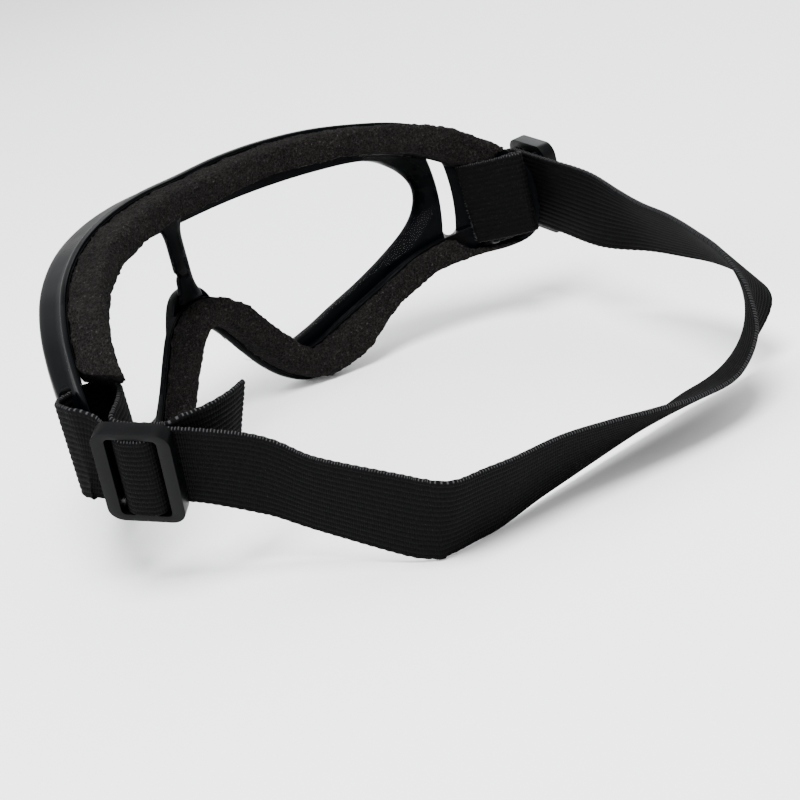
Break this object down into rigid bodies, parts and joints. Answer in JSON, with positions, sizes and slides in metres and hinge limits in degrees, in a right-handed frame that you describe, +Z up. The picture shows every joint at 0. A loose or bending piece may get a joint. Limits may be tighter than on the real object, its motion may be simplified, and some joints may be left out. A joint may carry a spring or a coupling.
{
  "type": "safety goggles",
  "caption": "Wraparound safety goggles with a clear lens, face foam and an elastic head strap with sliding adjusters.",
  "frame": {"origin": "middle of the footprint, on the surface that the goggles stand on", "axes": "+Z up, +X to the wearer's left, +Y from the lens back towards the head"},
  "size_m": [0.1934, 0.1574, 0.0702],
  "materials": {
    "frame_plastic": "semi-gloss black, lightly marked",
    "lens_clear": "clear polycarbonate",
    "adhesive_tape": "double-sided adhesive film",
    "face_foam": "open-cell foam, brown-black",
    "strap_webbing": "ribbed elastic webbing",
    "slide_plastic": "moulded black nylon"
  },
  "bodies": {
    "goggles": {"frame": "frame_plastic", "lens": "lens_clear", "brow_foam_tape": "adhesive_tape", "cheek_foam_tape": "adhesive_tape", "brow_foam": "face_foam", "cheek_foam": "face_foam", "head_strap": "strap_webbing"},
    "left_slide": {"left_slide": "slide_plastic", "left_slide_webbing": "strap_webbing"},
    "right_slide": {"right_slide": "slide_plastic", "right_slide_webbing": "strap_webbing"}
  },
  "joints": [
    {"name": "left_slide_travel", "type": "slide", "parent": "goggles", "child": "left_slide", "axis": [-0.4501, 0.8703, -0.2001], "range_m": [0, 0.013]},
    {"name": "right_slide_travel", "type": "slide", "parent": "goggles", "child": "right_slide", "axis": [0.3887, 0.917, -0.0897], "range_m": [0, 0.018]}
  ]
}
